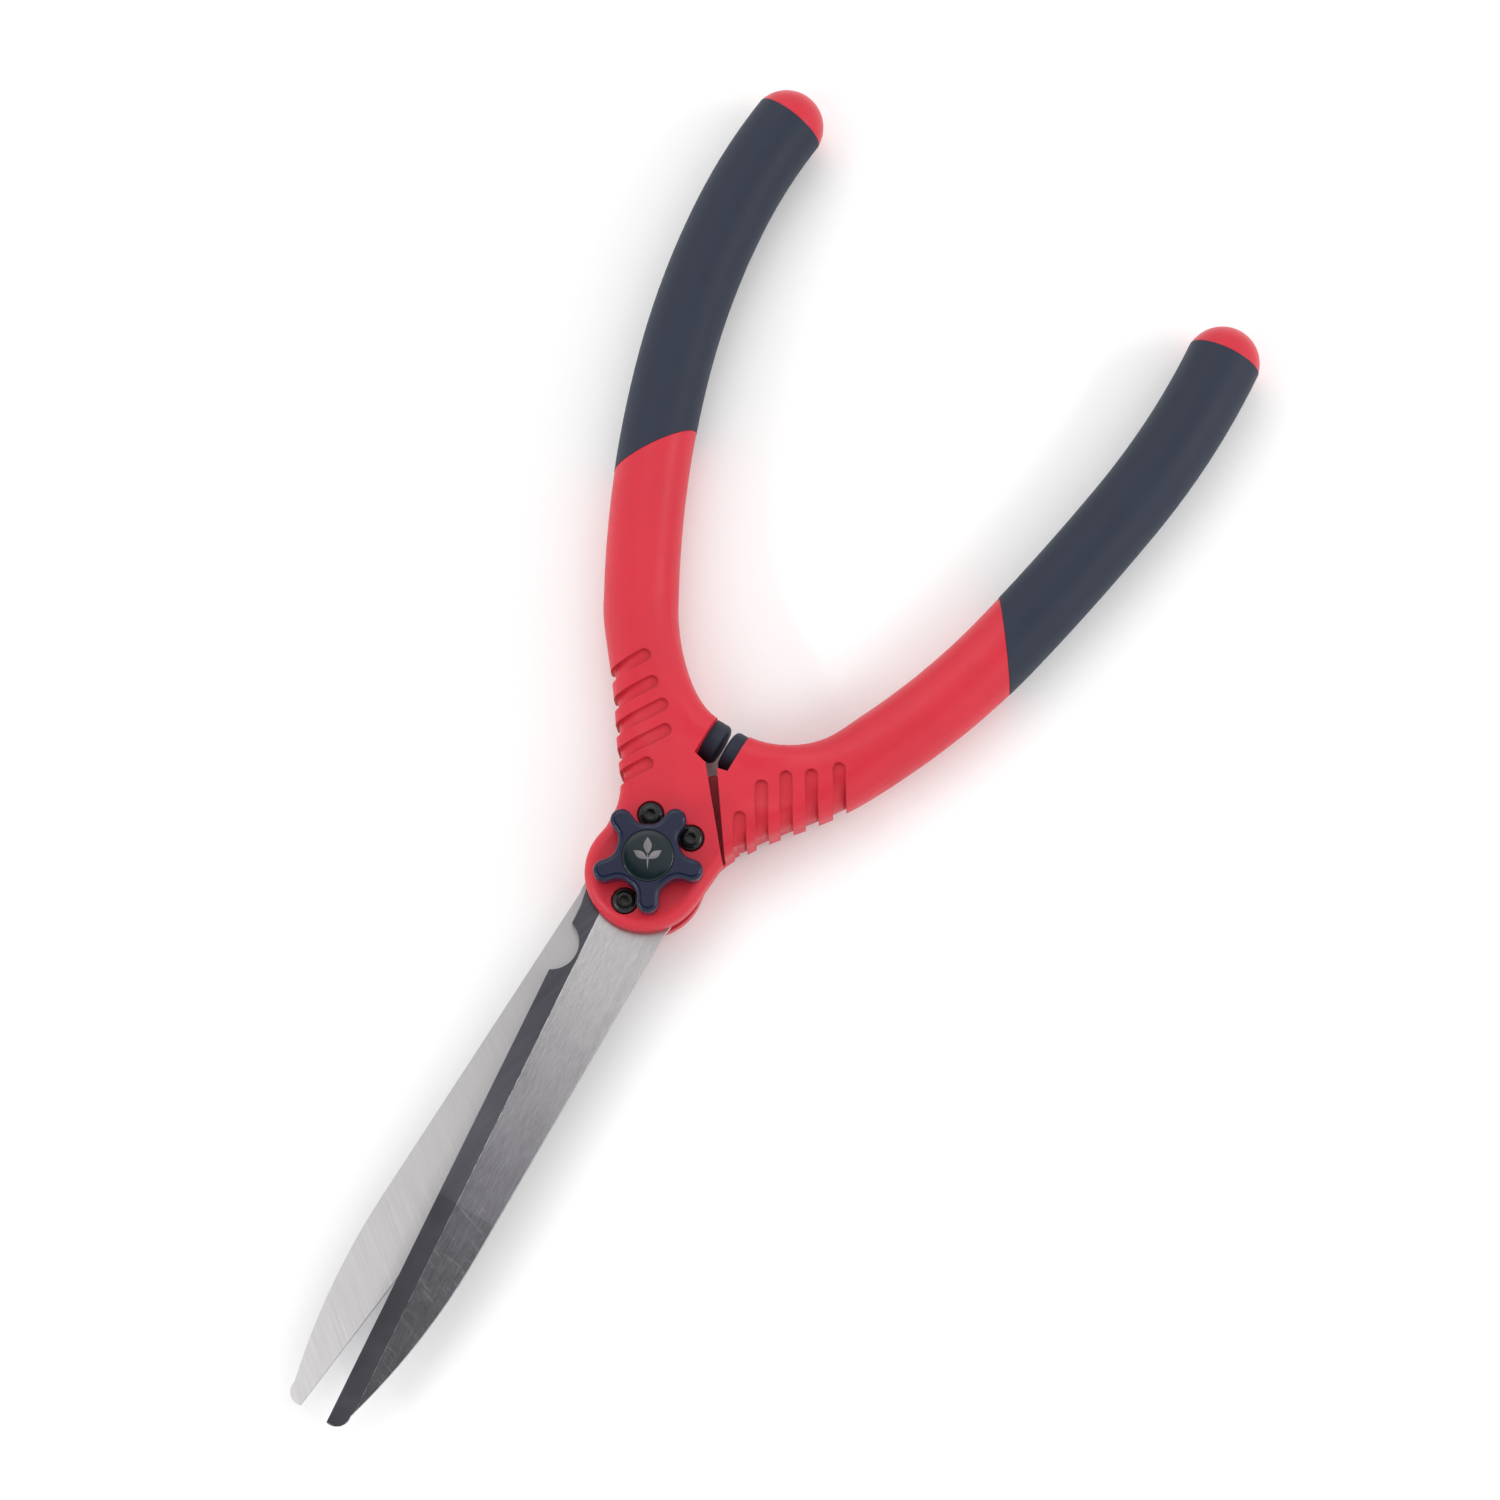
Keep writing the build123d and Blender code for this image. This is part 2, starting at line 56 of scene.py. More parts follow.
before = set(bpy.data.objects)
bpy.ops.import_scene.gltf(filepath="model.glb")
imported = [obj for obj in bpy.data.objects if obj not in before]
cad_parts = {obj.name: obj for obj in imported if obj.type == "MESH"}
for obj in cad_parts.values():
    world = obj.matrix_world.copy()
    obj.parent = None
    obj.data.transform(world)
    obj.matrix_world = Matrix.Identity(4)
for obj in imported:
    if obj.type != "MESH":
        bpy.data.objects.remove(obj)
CAD_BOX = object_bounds()
MM = 0.001

BEVEL_WIDTH = 7.5 * MM
EDGE_HEEL = Vector((-14.2, -25.3, 0.0)) * MM  # the front blade's edge; the rear blade's is its mirror image
EDGE_TIP = Vector((5.7, -228.6, 0.0)) * MM
PARTING_Z = 14.0 * MM  # half way up, where the two blades also meet
OUTER_Z = {1: 14.1 * MM, -1: -13.9 * MM}  # beyond this a blade's side is the outer, bevelled one
BEVEL_BLUR = 0.08 * MM
WORN_REFLECTING_FROM_Y = -137.0 * MM  # towards the point from here, a blade's outer side is worn smoother and scuffed, and coloured darker as a painted dark reflection
WEAR_AND_REFLECTION_WANDER = 18 * MM  # how unevenly the wear and its painted dark reflection begin
# where the worn zone and its painted dark reflection fade in
WEAR_AND_REFLECTION_FADE = (WORN_REFLECTING_FROM_Y + 98 * MM, WORN_REFLECTING_FROM_Y + 22 * MM)
MARKS_FADE = (WORN_REFLECTING_FROM_Y + 14 * MM, WORN_REFLECTING_FROM_Y + 4 * MM)
POINT_FADE = (-60 * MM, -220 * MM)
# painted dark reflection on the worn outer side towards the point, lighter and darker along the grinding
# lines
POLISHED_REFLECTION_DARK = (0.30, 0.29, 0.32, 1.0)
POLISHED_REFLECTION_LIGHT = (0.40, 0.39, 0.42, 1.0)
MARK_COLOUR = (0.80, 0.79, 0.82, 1.0)
# painted highlight along the worn ridge where bevel and face meet
RIDGE_HIGHLIGHT = (0.80, 0.79, 0.80, 1.0)
SCUFF_TURN = radians(20.0)
# front and rear blade: direction of grinding, roughness, depth of the lines' shade and their shortness
BLADE_GRAIN = {1: (radians(-3.0), 0.27, 0.78, 0.10), -1: (radians(-52.0), 0.42, 0.84, 0.02)}

SIDES = ("front", "rear")
SCREW_NUMBERS = (1, 2, 3)
RING_STEPS = 96  # sides of a large turned piece
SCREW_STEPS = 48

# outlines of the turned pieces, from the foot up, in millimetres: radius, and height over the foot
BADGE_PROFILE = (
    (9.45, 0.0),
    (9.45, 0.55),
    (9.36, 0.82),
    (9.12, 1.05),
    (8.75, 1.22),
    (8.1, 1.34),
    (7.0, 1.44),
    (5.2, 1.51),
    (2.6, 1.56),
)
SCREW_SHANK = ((2.35, 0.0), (2.5, 0.3), (2.5, 11.27))
SCREW_HEAD = ((4.62, 11.27), (4.7, 11.4), (4.7, 11.95), (4.5, 12.75), (3.95, 13.4), (3.2, 13.8), (2.5, 13.96))
SCREW_EDGE = 0.14 * MM
SOCKET_DEPTH = 1.5 * MM
SOCKET_SIDES = 6
CRISP_EDGE = radians(50.0)  # edges sharper than this are rounded
MERGE_DISTANCE = 0.002 * MM
LEAF_STEPS = 24
LEAF_POINT = 1.25  # how pointed a leaf's two ends are
LEAF_EDGE = 0.05 * MM
SPROUT_SINK = 0.25 * MM  # how far the sprout's foot lies under the top of the dome
SPROUT_TURN = 31.0  # degrees, so that it stands upright when the shears lie with their points to the left
# name, start along the stem, length and width, all as shares of the middle leaf, and lean in degrees
SPROUT = (
    ("sprout_stem", -0.80, 1.05, 0.09, 0.0),
    ("sprout_leaf_middle", 0.02, 1.0, 0.46, 0.0),
    ("sprout_leaf_left", -0.22, 0.92, 0.40, 58.0),
    ("sprout_leaf_right", -0.22, 0.92, 0.40, -58.0),
)

# the studio: upright and sideways parts of the direction where the ceiling begins and where it brightens
CEILING_EDGE = (0.78, 0.90)
CEILING_FADE = (0.02, 0.11)
KEY_PLACE = (-0.9, 0.9, 1.6)
KEY_SIZE = (1.2, 1.2)
GLINT_SIZE = (0.8, 0.05)
GLINTS = {"glint_right": (1.15, 0.7, 0.8), "glint_low": (-0.75, -1.15, 0.75)}
CAMERA_PLACE = (0.17915, -0.15438, 1.27086)
CAMERA_BACK = (0.132871, -0.163323, 0.977584)
CAMERA_UP = (-0.501034, 0.839954, 0.208429)


# ---------------------------------------------------------------- sizes and colours


def colour_setting(name, description, default):
    """A colour a user may change, with its opacity."""
    return bpy.props.FloatVectorProperty(
        name=name,
        description=description,
        default=(*default, 1.0),
        size=4,
        min=0.0,
        max=1.0,
        subtype="COLOR",
    )


class FinishSettings(bpy.types.PropertyGroup):
    """Colours of the shears' finishes."""

    red: colour_setting("Red plastic", "Colour of the moulded handles and caps", (0.58, 0.020, 0.039))
    navy: colour_setting("Navy rubber", "Colour of the grip sleeves", (0.017, 0.023, 0.041))
    knob: colour_setting("Knob plastic", "Colour of the glossy tension knob", (0.006, 0.009, 0.030))
    black: colour_setting("Screw black", "Colour of the blackened screws", (0.005, 0.005, 0.006))
    steel: colour_setting("Steel", "Colour of the bare blade steel", (0.62, 0.60, 0.61))
    # the bevel's dark colour is a painted dark reflection
    bevel: colour_setting("Ground bevel", "Colour of the dark bevel along the edge", (0.085, 0.085, 0.098))
    teal: colour_setting("Badge", "Ground colour of the badge in the knob", (0.004, 0.011, 0.014))
    sprout: colour_setting("Sprout", "Colour of the sprout on the badge", (0.16, 0.15, 0.16))


class PieceSettings(bpy.types.PropertyGroup):
    """Sizes of the pieces that are modelled finer than their solids."""

    socket: bpy.props.FloatProperty(
        name="Socket", description="Width of a socket over its corners", default=3.5 * MM, unit="LENGTH"
    )
    leaf: bpy.props.FloatProperty(
        name="Leaf", description="Length of the badge's middle leaf", default=6.6 * MM, unit="LENGTH"
    )
    relief: bpy.props.FloatProperty(
        name="Relief", description="How far the sprout stands up", default=0.12 * MM, unit="LENGTH"
    )


class StageSettings(bpy.types.PropertyGroup):
    """Camera, floor and lights."""

    lens: bpy.props.FloatProperty(
        name="Lens", description="Focal length of the camera", default=84.24, min=10.0, unit="CAMERA"
    )
    floor_size: bpy.props.FloatProperty(
        name="Floor", description="Side of the square floor", default=30.0, min=1.0, unit="LENGTH"
    )
    sky: bpy.props.FloatProperty(
        name="Sky", description="Brightness of the pale surroundings", default=1.12, min=0.0
    )
    ceiling_dark: bpy.props.FloatProperty(
        name="Dark ceiling", description="Brightness of the ceiling over the blades", default=0.06, min=0.0
    )
    ceiling_light: bpy.props.FloatProperty(
        name="Light ceiling", description="Brightness of the ceiling over the grips", default=1.32, min=0.0
    )
    key_power: bpy.props.FloatProperty(
        name="Key light", description="Power of the large soft light", default=5.0, min=0.0, unit="POWER"
    )
    glint_power: bpy.props.FloatProperty(
        name="Glint lights", description="Power of each small side light", default=5.0, min=0.0, unit="POWER"
    )


# ---------------------------------------------------------------- helpers


def deselect_all():
    """Object mode, with nothing selected."""
    if bpy.context.mode != "OBJECT":
        bpy.ops.object.mode_set(mode="OBJECT")
    bpy.ops.object.select_all(action="DESELECT")


def new_material(name, **values):
    """A node material and its shader, with constant values set on the shader's own sockets."""
    material = bpy.data.materials.new(name)
    material.use_nodes = True
    shader = material.node_tree.nodes["Principled BSDF"]
    for key, value in values.items():
        shader.inputs[key.replace("_", " ")].default_value = value
    return material, shader


def node(tree, kind, settings=None, **inputs):
    """A shader node with its settings; inputs are values or sockets to link, by name."""
    made = tree.nodes.new("ShaderNode" + kind)
    for key, value in (settings or {}).items():
        setattr(made, key, value)
    for key, value in inputs.items():
        socket = made.inputs[key.replace("_", " ")]
        if isinstance(value, bpy.types.NodeSocket):
            tree.links.new(value, socket)
        else:
            socket.default_value = value
    return made


def object_place(tree):
    """Position on the piece, in metres."""
    return node(tree, "TexCoord").outputs["Object"]


def noise(tree, place, scale, detail=3.0, roughness=0.55, stretch=(1.0, 1.0, 1.0), turn=0.0):
    """A noise pattern, stretched along the piece and turned about the upright."""
    turned = node(tree, "Mapping", Vector=place, Rotation=(0.0, 0.0, turn))
    spread = node(tree, "Mapping", Vector=turned.outputs["Vector"], Scale=stretch)
    spread_place = spread.outputs["Vector"]
    made = node(tree, "TexNoise", Vector=spread_place, Scale=scale, Detail=detail, Roughness=roughness)
    return made.outputs["Fac"]


def remap(tree, value, low, high, to_low, to_high):
    """A value moved from one range to another, without going past its ends."""
    made = node(tree, "MapRange", Value=value, From_Min=low, From_Max=high, To_Min=to_low, To_Max=to_high)
    return made.outputs["Result"]


def mix_colour(tree, share, first, second):
    """Two colours mixed by a share from 0 to 1."""
    made = tree.nodes.new("ShaderNodeMix")
    made.data_type = "RGBA"
    for socket, value in zip((made.inputs[0], made.inputs[6], made.inputs[7]), (share, first, second)):
        if isinstance(value, bpy.types.NodeSocket):
            tree.links.new(value, socket)
        else:
            socket.default_value = value
    return made.outputs[2]


def maths(tree, operation, *values):
    """A sum of one or more values."""
    made = tree.nodes.new("ShaderNodeMath")
    made.operation = operation
    for socket, value in zip(made.inputs, values):
        if isinstance(value, bpy.types.NodeSocket):
            tree.links.new(value, socket)
        else:
            socket.default_value = value
    return made.outputs[0]


def scaled(colour, share):
    """A colour made darker or lighter by a share."""
    return (*(share * part for part in tuple(colour)[:3]), 1.0)


def bump(tree, shader, height, strength, distance, edge_radius=0.0):
    """Fine relief on a shader, over edges that read as slightly rounded."""
    made = node(tree, "Bump", Height=height, Strength=strength, Distance=distance)
    if edge_radius:
        soft = node(tree, "Bevel", {"samples": 6}, Radius=edge_radius)
        tree.links.new(soft.outputs["Normal"], made.inputs["Normal"])
    tree.links.new(made.outputs["Normal"], shader.inputs["Normal"])


def finish_nodes(material, *names):
    """Gives CAD nodes a finish."""
    for name in names:
        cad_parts[name].data.materials.clear()
        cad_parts[name].data.materials.append(material)


# ---------------------------------------------------------------- shaping


def active_mesh(name):
    """Names the primitive just made, and enters edit mode on it with all of it selected."""
    piece = bpy.context.active_object
    piece.name = name
    piece.data.name = name
    bpy.ops.object.mode_set(mode="EDIT")
    bpy.ops.mesh.select_mode(type="VERT")
    bpy.ops.mesh.select_all(action="SELECT")
    return piece


def turned(name, middle, foot, profile, steps, up=1.0):
    """A round piece drawn up (or, with up -1, down) from its foot: a disc, extruded along a profile."""
    deselect_all()
    bpy.ops.mesh.primitive_circle_add(
        vertices=steps, radius=profile[0][0] * MM, fill_type="NGON", location=(*middle, foot)
    )
    piece = active_mesh(name)
    for (radius, height), (next_radius, next_height) in zip(profile, profile[1:]):
        rise = up * (next_height - height) * MM
        bpy.ops.mesh.extrude_region_move(TRANSFORM_OT_translate={"value": (0.0, 0.0, rise)})
        share = next_radius / radius
        bpy.ops.transform.resize(value=(share, share, 1.0), center_override=(*middle, 0.0))
    bpy.ops.mesh.poke()
    return piece


def finish_mesh(piece, smooth_angle, material):
    """Outward normals, smooth shading, and the piece's place moved into its mesh."""
    if bpy.context.mode != "EDIT_MESH":
        bpy.context.view_layer.objects.active = piece
        bpy.ops.object.mode_set(mode="EDIT")
    bpy.ops.mesh.select_all(action="SELECT")
    bpy.ops.mesh.remove_doubles(threshold=MERGE_DISTANCE)
    bpy.ops.mesh.normals_make_consistent(inside=False)
    deselect_all()
    piece.select_set(True)
    bpy.context.view_layer.objects.active = piece
    bpy.ops.object.transform_apply(location=True, rotation=True, scale=True)
    bpy.ops.object.shade_smooth_by_angle(angle=smooth_angle)
    piece.data.materials.clear()
    piece.data.materials.append(material)
    piece.select_set(False)


def apply_modifier(piece, kind, **settings):
    """Adds a modifier with its settings and applies it."""
    modifier = piece.modifiers.new(kind.lower(), kind)
    for key, value in settings.items():
        setattr(modifier, key, value)
    deselect_all()
    piece.select_set(True)
    bpy.context.view_layer.objects.active = piece
    bpy.ops.object.modifier_apply(modifier=modifier.name)


def middle_of(name):
    """The middle of a node's box, seen from above."""
    low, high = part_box(name)
    return ((low[0] + high[0]) / 2, (low[1] + high[1]) / 2)


# ---------------------------------------------------------------- finishes


def moulded_plastic(name, colour, roughness, edge_radius):
    """Satin moulded plastic: faint clouds, an orange-peel skin and a fine parting line half way up."""
    material, shader = new_material(name, Specular_IOR_Level=0.32)
    tree = material.node_tree
    place = object_place(tree)
    clouds = noise(tree, place, 28.0, 5.0, 0.65)
    dark = scaled(colour, 0.93)
    shade = mix_colour(tree, remap(tree, clouds, 0.4, 0.6, 0.0, 1.0), dark, tuple(colour))
    tree.links.new(shade, shader.inputs["Base Color"])
    rubbed = noise(tree, place, 90.0, 6.0, 0.7)
    rough = remap(tree, rubbed, 0.35, 0.7, roughness - 0.04, roughness + 0.08)
    tree.links.new(rough, shader.inputs["Roughness"])
    skin = noise(tree, place, 1300.0, 2.0)
    height = node(tree, "SeparateXYZ", Vector=place).outputs["Z"]
    off_line = maths(tree, "ABSOLUTE", maths(tree, "SUBTRACT", height, PARTING_Z))
    line = remap(tree, off_line, 0.08 * MM, 0.22 * MM, 1.0, 0.0)
    relief = maths(tree, "MULTIPLY_ADD", skin, 0.35, line)
    bump(tree, shader, relief, 0.3, 0.12 * MM, edge_radius)
    return material


def rubber(name, colour):
    """Soft matte rubber with a fine grain and lighter rubbed patches."""
    material, shader = new_material(name, Specular_IOR_Level=0.28)
    tree = material.node_tree
    place = object_place(tree)
    patches = noise(tree, place, 45.0, 5.0, 0.6)
    light = (*[1.25 * part + 0.002 for part in colour[:3]], 1.0)
    shade = mix_colour(tree, remap(tree, patches, 0.4, 0.75, 0.0, 0.5), tuple(colour), light)
    tree.links.new(shade, shader.inputs["Base Color"])
    tree.links.new(remap(tree, patches, 0.3, 0.7, 0.50, 0.62), shader.inputs["Roughness"])
    grain = noise(tree, place, 2600.0, 2.0)
    bump(tree, shader, grain, 0.22, 0.15 * MM, 0.5 * MM)
    return material


def gloss_plastic(name, colour):
    """Polished hard plastic with hairline scratches."""
    material, shader = new_material(name, Specular_IOR_Level=0.3)
    tree = material.node_tree
    place = object_place(tree)
    cloud = noise(tree, place, 220.0, 3.0)
    lighter = (*[1.3 * part + 0.002 for part in colour[:3]], 1.0)
    shade = mix_colour(tree, remap(tree, cloud, 0.4, 0.8, 0.0, 0.5), tuple(colour), lighter)
    tree.links.new(shade, shader.inputs["Base Color"])
    tree.links.new(remap(tree, cloud, 0.3, 0.7, 0.13, 0.22), shader.inputs["Roughness"])
    scratches = noise(tree, place, 900.0, 2.0, 0.5, (1.0, 0.04, 1.0), 0.6)
    bump(tree, shader, scratches, 0.04, 0.1 * MM)
    return material


def steel(name, colour, roughness, turn, grain):
    """Ground steel: lines of grinding along one direction, with cloudy patches."""
    material, shader = new_material(name, Metallic=1.0, Anisotropic=0.5)
    tree = material.node_tree
    place = object_place(tree)
    lines = noise(tree, place, 1500.0, 3.0, 0.7, (1.0, 0.012, 1.0), turn)
    broad = noise(tree, place, 320.0, 4.0, 0.6, (1.0, 0.02, 1.0), turn)
    clouds = noise(tree, place, 40.0, 5.0, 0.65)
    dark = scaled(colour, 1.0 - 0.42 * grain)
    both = maths(tree, "MULTIPLY_ADD", lines, 0.6, maths(tree, "MULTIPLY", broad, 0.4))
    shade = mix_colour(tree, remap(tree, both, 0.36, 0.62, 0.0, 1.0), dark, tuple(colour))
    shade = mix_colour(tree, remap(tree, clouds, 0.35, 0.75, 0.0, 0.22), shade, dark)
    tree.links.new(shade, shader.inputs["Base Color"])
    rough = remap(tree, clouds, 0.3, 0.7, roughness - 0.04, roughness + 0.06)
    tree.links.new(rough, shader.inputs["Roughness"])
    bump(tree, shader, both, 0.10 * grain, 0.05 * MM, 0.15 * MM)
    return material


def blackened_steel(name, colour):
    """Oiled black oxide on screws, worn grey in places."""
    material, shader = new_material(name, Specular_IOR_Level=0.35)
    tree = material.node_tree
    place = object_place(tree)
    wear = noise(tree, place, 700.0, 5.0, 0.7)
    worn = (0.05, 0.05, 0.055, 1.0)
    shade = mix_colour(tree, remap(tree, wear, 0.6, 0.78, 0.0, 0.6), tuple(colour), worn)
    tree.links.new(shade, shader.inputs["Base Color"])
    tree.links.new(remap(tree, wear, 0.3, 0.7, 0.16, 0.30), shader.inputs["Roughness"])
    bump(tree, shader, wear, 0.06, 0.1 * MM)
    return material


def distance_from_edge(tree, place, side):
    """How far a point of a blade lies from the line of its cutting edge."""
    run = (EDGE_TIP - EDGE_HEEL).normalized()
    inward = Vector((-run.y * side, run.x, 0.0))
    start = Vector((EDGE_HEEL.x * side, EDGE_HEEL.y, 0.0))
    along = node(tree, "VectorMath", {"operation": "DOT_PRODUCT"})
    tree.links.new(place, along.inputs[0])
    along.inputs[1].default_value = inward
    return maths(tree, "SUBTRACT", along.outputs["Value"], start.dot(inward))


def blade_face(tree, place, colours, side, zones):
    """Colour of the ground face: fine lines; on the outer side towards the point, scuffs and a painted dark
    reflection; on the rear blade, painted shade near the pivot.
    """
    lines, clouds, wander, outer_side, to_point = zones
    turn, _, contrast, _ = BLADE_GRAIN[side]
    steel_colour = tuple(colours.steel)
    dull = scaled(colours.steel, contrast)
    face = mix_colour(tree, remap(tree, lines, 0.38, 0.62, 0.0, 1.0), dull, steel_colour)
    face = mix_colour(tree, remap(tree, clouds, 0.4, 0.75, 0.0, 0.15), face, dull)

    # painted dark reflection: the worn outer side towards the point is coloured darker; the same share also
    # makes it smoother
    past_wear_and_reflection = remap(tree, wander, *WEAR_AND_REFLECTION_FADE, 0.0, 1.0)
    worn = maths(tree, "MULTIPLY", past_wear_and_reflection, outer_side)
    polished_reflection = mix_colour(tree, remap(tree, lines, 0.38, 0.62, 0.0, 1.0), POLISHED_REFLECTION_DARK, POLISHED_REFLECTION_LIGHT)
    face = mix_colour(tree, worn, face, polished_reflection)

    scuff = noise(tree, place, 620.0, 5.0, 0.75, (0.16, 1.0, 1.0), turn + SCUFF_TURN)
    speckle = noise(tree, place, 1600.0, 2.0, 0.8)
    scuffed = remap(tree, scuff, 0.53, 0.68, 0.0, 0.42)
    marks = maths(tree, "MAXIMUM", scuffed, remap(tree, speckle, 0.62, 0.72, 0.0, 0.45))
    past_marks = remap(tree, wander, *MARKS_FADE, 0.0, 1.0)
    marks = maths(tree, "MULTIPLY", marks, maths(tree, "MULTIPLY", past_marks, outer_side))
    face = mix_colour(tree, marks, face, MARK_COLOUR)
    # painted shade: the rear blade's face is darkened near the pivot, fading out towards the point
    if side < 0:
        painted_heel_shade = scaled(colours.steel, 0.70)
        face = mix_colour(tree, remap(tree, to_point, 0.0, 1.0, 0.7, 0.0), face, painted_heel_shade)
    return face, worn


def bevel_painted_reflection(tree, place, colours, to_point, turn):
    """Colour of the ground bevel: a painted dark reflection, lighter towards the point."""
    ground = noise(tree, place, 900.0, 3.0, 0.6, (1.0, 0.05, 1.0), turn + SCUFF_TURN)
    light = scaled(colours.bevel, 1.3)
    bevel = mix_colour(tree, remap(tree, ground, 0.35, 0.7, 0.0, 1.0), tuple(colours.bevel), light)
    return mix_colour(tree, to_point, bevel, scaled(colours.bevel, 3.6))


def blade_steel(name, colours, side):
    """A blade: ground face, dark bevel along the edge as a painted reflection, and a bright broken line where
    they meet, partly a worn ridge and partly a painted highlight.
    """
    turn, roughness, _, streak = BLADE_GRAIN[side]
    material, shader = new_material(name, Anisotropic=0.35)
    tree = material.node_tree
    place = object_place(tree)
    axes = node(tree, "SeparateXYZ", Vector=place)
    fine = noise(tree, place, 2000.0, 3.0, 0.65, (1.0, streak, 1.0), turn)
    broad = noise(tree, place, 520.0, 3.0, 0.6, (1.0, 0.05, 1.0), turn)
    clouds = noise(tree, place, 30.0, 4.0, 0.6)
    lines = maths(tree, "MULTIPLY_ADD", fine, 0.72, maths(tree, "MULTIPLY", broad, 0.28))
    from_edge = distance_from_edge(tree, place, side)
    sideways = maths(tree, "MULTIPLY", axes.outputs["Z"], side)
    outer_side = maths(tree, "GREATER_THAN", sideways, OUTER_Z[side])
    to_point = remap(tree, axes.outputs["Y"], *POINT_FADE, 0.0, 1.0)

    wander = maths(tree, "MULTIPLY_ADD", clouds, WEAR_AND_REFLECTION_WANDER, axes.outputs["Y"])
    zones = (lines, clouds, wander, outer_side, to_point)
    face, worn = blade_face(tree, place, colours, side, zones)
    # the bevel zone takes a painted dark reflection
    bevel = bevel_painted_reflection(tree, place, colours, to_point, turn)
    near_edge = remap(tree, from_edge, BEVEL_WIDTH - BEVEL_BLUR, BEVEL_WIDTH + BEVEL_BLUR, 1.0, 0.0)
    in_bevel = maths(tree, "MULTIPLY", near_edge, outer_side)
    shade = mix_colour(tree, in_bevel, face, bevel)
    # painted highlight: a broken bright line along the worn ridge between bevel and face
    off_line = maths(tree, "ABSOLUTE", maths(tree, "SUBTRACT", from_edge, BEVEL_WIDTH))
    line = maths(tree, "MULTIPLY", remap(tree, off_line, 0.05 * MM, 0.20 * MM, 1.0, 0.0), outer_side)
    gaps = remap(tree, noise(tree, place, 300.0, 3.0), 0.38, 0.58, 0.15, 0.9)
    shade = mix_colour(tree, maths(tree, "MULTIPLY", line, gaps), shade, RIDGE_HIGHLIGHT)
    tree.links.new(shade, shader.inputs["Base Color"])

    if side > 0:
        shader.inputs["Metallic"].default_value = 1.0
    else:
        tree.links.new(remap(tree, to_point, 0.0, 1.0, 0.85, 0.15), shader.inputs["Metallic"])
    rough = remap(tree, clouds, 0.3, 0.7, roughness - 0.03, roughness + 0.05)
    rough = maths(tree, "SUBTRACT", rough, maths(tree, "MULTIPLY", worn, 0.05))
    tree.links.new(rough, shader.inputs["Roughness"])
    relief = maths(tree, "MULTIPLY", lines, maths(tree, "SUBTRACT", 1.0, in_bevel))
    bump(tree, shader, relief, 0.12, 0.04 * MM, 0.12 * MM)
    return material


class PIECES_OT_finishes(bpy.types.Operator):
    """Gives every CAD node its finish."""

    bl_idname = "shears.finishes"
    bl_label = "Finishes"

    def execute(self, context):
        colours = context.scene.shears_finish
        red = moulded_plastic("red_plastic", colours.red, 0.40, 0.5 * MM)
        cap = moulded_plastic("cap_plastic", colours.red, 0.34, 0.4 * MM)
        finish_nodes(red, "front_handle", "rear_handle")
        finish_nodes(cap, "front_end_cap", "rear_end_cap")
        navy = rubber("grip_rubber", colours.navy)
        finish_nodes(navy, "front_grip", "rear_grip", "front_bumper", "rear_bumper")
        finish_nodes(blade_steel("front_blade_steel", colours, 1), "front_blade")
        finish_nodes(blade_steel("rear_blade_steel", colours, -1), "rear_blade")
        finish_nodes(gloss_plastic("knob_plastic", colours.knob), "tension_knob")
        finish_nodes(gloss_plastic("badge_plastic", colours.teal), "knob_badge")
        gloss_plastic("sprout_print", colours.sprout)
        black = blackened_steel("screw_steel", colours.black)
        for side in SIDES:
            finish_nodes(black, *(f"{side}_blade_screw_{number}" for number in SCREW_NUMBERS))
        plain = steel("fastener_steel", colours.steel, 0.30, 0.0, 0.3)
        finish_nodes(plain, "pivot_bolt", "thrust_washer", "spring_washer")
        brass = steel("nut_brass", (0.60, 0.42, 0.16, 1.0), 0.30, 0.0, 0.3)
        finish_nodes(brass, "knob_nut")
        white = moulded_plastic("bush_plastic", (0.55, 0.54, 0.50, 1.0), 0.45, 0.2 * MM)
        finish_nodes(white, "front_bush", "rear_bush")
        return {"FINISHED"}


# ---------------------------------------------------------------- screws and badge


def first_screw(name, node_name, side, socket):
    """A button-head screw: shank, domed head with a rolled lower edge, and a six-sided socket."""
    low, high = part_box(node_name)
    foot = low[2] if side > 0 else high[2]
    middle = middle_of(node_name)
    piece = turned(name, middle, foot, SCREW_SHANK + SCREW_HEAD, SCREW_STEPS, up=side)
    bpy.ops.mesh.select_all(action="SELECT")
    bpy.ops.mesh.normals_make_consistent(inside=False)
    deselect_all()
    top = foot + side * SCREW_HEAD[-1][1] * MM
    bpy.ops.mesh.primitive_cylinder_add(
        vertices=SOCKET_SIDES, radius=socket / 2, depth=2 * SOCKET_DEPTH, location=(*middle, top)
    )
    cutter = bpy.context.active_object
    apply_modifier(piece, "BOOLEAN", object=cutter, operation="DIFFERENCE", solver="EXACT")
    bpy.data.objects.remove(cutter, do_unlink=True)
    apply_modifier(
        piece,
        "BEVEL",
        width=SCREW_EDGE,
        segments=3,
        limit_method="ANGLE",
        angle_limit=CRISP_EDGE,
        profile=0.6,
    )
    finish_mesh(piece, radians(40.0), bpy.data.materials["screw_steel"])
    return piece


